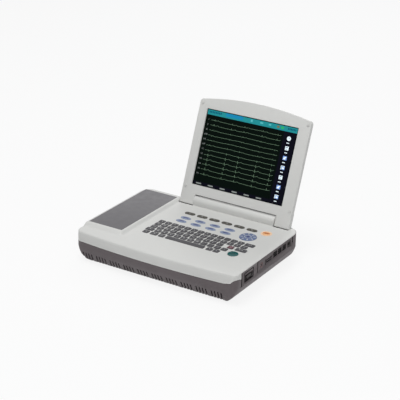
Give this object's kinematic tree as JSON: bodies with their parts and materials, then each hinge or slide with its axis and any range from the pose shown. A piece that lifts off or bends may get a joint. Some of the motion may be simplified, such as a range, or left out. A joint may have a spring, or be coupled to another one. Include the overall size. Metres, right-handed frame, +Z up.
{
  "type": "electrocardiograph",
  "caption": "Portable ECG recorder: white body on a dark vented base, keyboard with coloured buttons, roll printer under a side door, and a fold-down display on a friction hinge.",
  "frame": {"origin": "on the table, under the centre of the box round the recorder with its display open", "axes": "+X to the user's right along the keyboard, +Y away from the user, +Z up"},
  "size_m": [0.427, 0.3888, 0.3236],
  "materials": {
    "white_shell": "fine moulded texture",
    "dark_shell": "fine moulded texture",
    "side_panel": "fine moulded texture",
    "door_grey": "smoked satin plastic",
    "key_grey": "moulded silicone keys",
    "key_blue": "moulded silicone keys",
    "nav_blue": "moulded silicone",
    "power_orange": "glossy",
    "print_teal": "glossy",
    "black_plastic": "matt",
    "black_rubber": "matt rubber",
    "grey_rubber": "soft rubber",
    "steel": "brushed",
    "plated": "nickel plated",
    "cast_head": "satin",
    "brass": "turned",
    "gear_white": "moulded",
    "lcd": "glossy display",
    "led": "clear lens",
    "board_green": "solder mask",
    "battery_wrap": "shrink wrap",
    "paper": "chart paper"
  },
  "bodies": {
    "base": {"lower_shell": "dark_shell", "upper_shell": "white_shell", "port_panel": "side_panel", "ecg_socket": "plated", "usb_ports": "plated", "lan_port": "plated", "card_reader": "plated", "audio_jack": "black_plastic", "hinge_cover": "white_shell", "hinge_brackets": "steel", "door_pins": "steel", "print_head": "cast_head", "stepper_motor": "steel", "paper_tray": "black_plastic", "keypad_mat": "grey_rubber", "keyboard_board": "board_green", "main_board": "board_green", "ecg_board": "board_green", "power_supply": "cast_head", "battery_pack": "battery_wrap", "battery_door": "dark_shell", "speaker": "black_plastic", "mains_inlet": "black_plastic", "ground_post": "brass", "rubber_feet": "black_rubber", "case_screws": "steel"},
    "screen": {"screen_bezel": "white_shell", "screen_back": "white_shell", "lcd_panel": "lcd", "hinge_knuckles": "steel", "status_lights": "led", "screen_bumpers": "grey_rubber"},
    "printer_door": {"printer_door": "door_grey"},
    "platen": {"platen_roller": "black_rubber"},
    "idler": {"idler_gear": "gear_white"},
    "pinion": {"motor_pinion": "brass"},
    "roll": {"paper_roll": "paper"},
    "rocker": {"mains_switch": "black_plastic"},
    "key_row_1": {"key_row_1": "key_grey"},
    "key_row_2": {"key_row_2": "key_grey"},
    "key_row_3": {"key_row_3": "key_grey"},
    "key_row_4": {"key_row_4": "key_grey"},
    "key_row_5": {"key_row_5": "key_grey"},
    "soft_key_1": {"soft_key_1": "key_grey"},
    "soft_key_2": {"soft_key_2": "key_grey"},
    "soft_key_3": {"soft_key_3": "key_grey"},
    "soft_key_4": {"soft_key_4": "key_grey"},
    "soft_key_5": {"soft_key_5": "key_grey"},
    "soft_key_6": {"soft_key_6": "key_grey"},
    "oval_key_1": {"oval_key_1": "key_blue"},
    "oval_key_2": {"oval_key_2": "key_blue"},
    "oval_key_3": {"oval_key_3": "key_blue"},
    "oval_key_4": {"oval_key_4": "key_blue"},
    "oval_key_5": {"oval_key_5": "key_blue"},
    "oval_key_6": {"oval_key_6": "key_blue"},
    "oval_key_7": {"oval_key_7": "key_blue"},
    "oval_key_8": {"oval_key_8": "key_blue"},
    "nav_pad": {"nav_pad": "nav_blue"},
    "power_button": {"power_button": "power_orange"},
    "print_button": {"print_button": "print_teal"}
  },
  "joints": [
    {"name": "screen_hinge", "type": "hinge", "parent": "base", "child": "screen", "pos_m": [0, 0.09726, 0.08316], "axis": [1, 0, 0], "range_deg": [-18, 111]},
    {"name": "door_hinge", "type": "hinge", "parent": "base", "child": "printer_door", "pos_m": [-0.1177, -0.02794, 0.0803], "axis": [0, 1, 0], "range_deg": [0, 80]},
    {"name": "platen_spin", "type": "hinge", "parent": "printer_door", "child": "platen", "pos_m": [-0.195, -0.02794, 0.07], "axis": [0, 1, 0], "continuous": true},
    {"name": "idler_spin", "type": "hinge", "parent": "base", "child": "idler", "pos_m": [-0.1866, 0.07706, 0.05545], "axis": [0, 1, 0], "continuous": true},
    {"name": "pinion_spin", "type": "hinge", "parent": "base", "child": "pinion", "pos_m": [-0.1846, 0.07706, 0.04119], "axis": [0, 1, 0], "continuous": true},
    {"name": "roll_spin", "type": "hinge", "parent": "base", "child": "roll", "pos_m": [-0.147, -0.02794, 0.047], "axis": [0, 1, 0], "continuous": true},
    {"name": "mains_rocker", "type": "hinge", "parent": "base", "child": "rocker", "pos_m": [0.1, 0.10306, 0.028], "axis": [1, 0, 0], "range_deg": [-18, 0]},
    {"name": "key_row_1_press", "type": "slide", "parent": "base", "child": "key_row_1", "axis": [0, 0, -1], "range_m": [0, 0.001], "stiffness_N_per_m": 500, "springref_m": -0.002},
    {"name": "key_row_2_press", "type": "slide", "parent": "base", "child": "key_row_2", "axis": [0, 0, -1], "range_m": [0, 0.001], "stiffness_N_per_m": 500, "springref_m": -0.002},
    {"name": "key_row_3_press", "type": "slide", "parent": "base", "child": "key_row_3", "axis": [0, 0, -1], "range_m": [0, 0.001], "stiffness_N_per_m": 500, "springref_m": -0.002},
    {"name": "key_row_4_press", "type": "slide", "parent": "base", "child": "key_row_4", "axis": [0, 0, -1], "range_m": [0, 0.001], "stiffness_N_per_m": 500, "springref_m": -0.002},
    {"name": "key_row_5_press", "type": "slide", "parent": "base", "child": "key_row_5", "axis": [0, 0, -1], "range_m": [0, 0.001], "stiffness_N_per_m": 500, "springref_m": -0.002},
    {"name": "soft_key_1_press", "type": "slide", "parent": "base", "child": "soft_key_1", "axis": [0, 0, -1], "range_m": [0, 0.001], "stiffness_N_per_m": 500, "springref_m": -0.002},
    {"name": "soft_key_2_press", "type": "slide", "parent": "base", "child": "soft_key_2", "axis": [0, 0, -1], "range_m": [0, 0.001], "stiffness_N_per_m": 500, "springref_m": -0.002},
    {"name": "soft_key_3_press", "type": "slide", "parent": "base", "child": "soft_key_3", "axis": [0, 0, -1], "range_m": [0, 0.001], "stiffness_N_per_m": 500, "springref_m": -0.002},
    {"name": "soft_key_4_press", "type": "slide", "parent": "base", "child": "soft_key_4", "axis": [0, 0, -1], "range_m": [0, 0.001], "stiffness_N_per_m": 500, "springref_m": -0.002},
    {"name": "soft_key_5_press", "type": "slide", "parent": "base", "child": "soft_key_5", "axis": [0, 0, -1], "range_m": [0, 0.001], "stiffness_N_per_m": 500, "springref_m": -0.002},
    {"name": "soft_key_6_press", "type": "slide", "parent": "base", "child": "soft_key_6", "axis": [0, 0, -1], "range_m": [0, 0.001], "stiffness_N_per_m": 500, "springref_m": -0.002},
    {"name": "oval_key_1_press", "type": "slide", "parent": "base", "child": "oval_key_1", "axis": [0, 0, -1], "range_m": [0, 0.001], "stiffness_N_per_m": 500, "springref_m": -0.002},
    {"name": "oval_key_2_press", "type": "slide", "parent": "base", "child": "oval_key_2", "axis": [0, 0, -1], "range_m": [0, 0.001], "stiffness_N_per_m": 500, "springref_m": -0.002},
    {"name": "oval_key_3_press", "type": "slide", "parent": "base", "child": "oval_key_3", "axis": [0, 0, -1], "range_m": [0, 0.001], "stiffness_N_per_m": 500, "springref_m": -0.002},
    {"name": "oval_key_4_press", "type": "slide", "parent": "base", "child": "oval_key_4", "axis": [0, 0, -1], "range_m": [0, 0.001], "stiffness_N_per_m": 500, "springref_m": -0.002},
    {"name": "oval_key_5_press", "type": "slide", "parent": "base", "child": "oval_key_5", "axis": [0, 0, -1], "range_m": [0, 0.001], "stiffness_N_per_m": 500, "springref_m": -0.002},
    {"name": "oval_key_6_press", "type": "slide", "parent": "base", "child": "oval_key_6", "axis": [0, 0, -1], "range_m": [0, 0.001], "stiffness_N_per_m": 500, "springref_m": -0.002},
    {"name": "oval_key_7_press", "type": "slide", "parent": "base", "child": "oval_key_7", "axis": [0, 0, -1], "range_m": [0, 0.001], "stiffness_N_per_m": 500, "springref_m": -0.002},
    {"name": "oval_key_8_press", "type": "slide", "parent": "base", "child": "oval_key_8", "axis": [0, 0, -1], "range_m": [0, 0.001], "stiffness_N_per_m": 500, "springref_m": -0.002},
    {"name": "nav_pad_press", "type": "slide", "parent": "base", "child": "nav_pad", "axis": [0, 0, -1], "range_m": [0, 0.001], "stiffness_N_per_m": 500, "springref_m": -0.002},
    {"name": "power_button_press", "type": "slide", "parent": "base", "child": "power_button", "axis": [0, 0, -1], "range_m": [0, 0.001], "stiffness_N_per_m": 500, "springref_m": -0.002},
    {"name": "print_button_press", "type": "slide", "parent": "base", "child": "print_button", "axis": [0, 0, -1], "range_m": [0, 0.001], "stiffness_N_per_m": 500, "springref_m": -0.002}
  ],
  "couplings": [
    {"joint": "idler_spin", "follows": "platen_spin", "ratio": -0.75},
    {"joint": "pinion_spin", "follows": "platen_spin", "ratio": 1.5},
    {"joint": "roll_spin", "follows": "platen_spin", "ratio": 0.25}
  ]
}
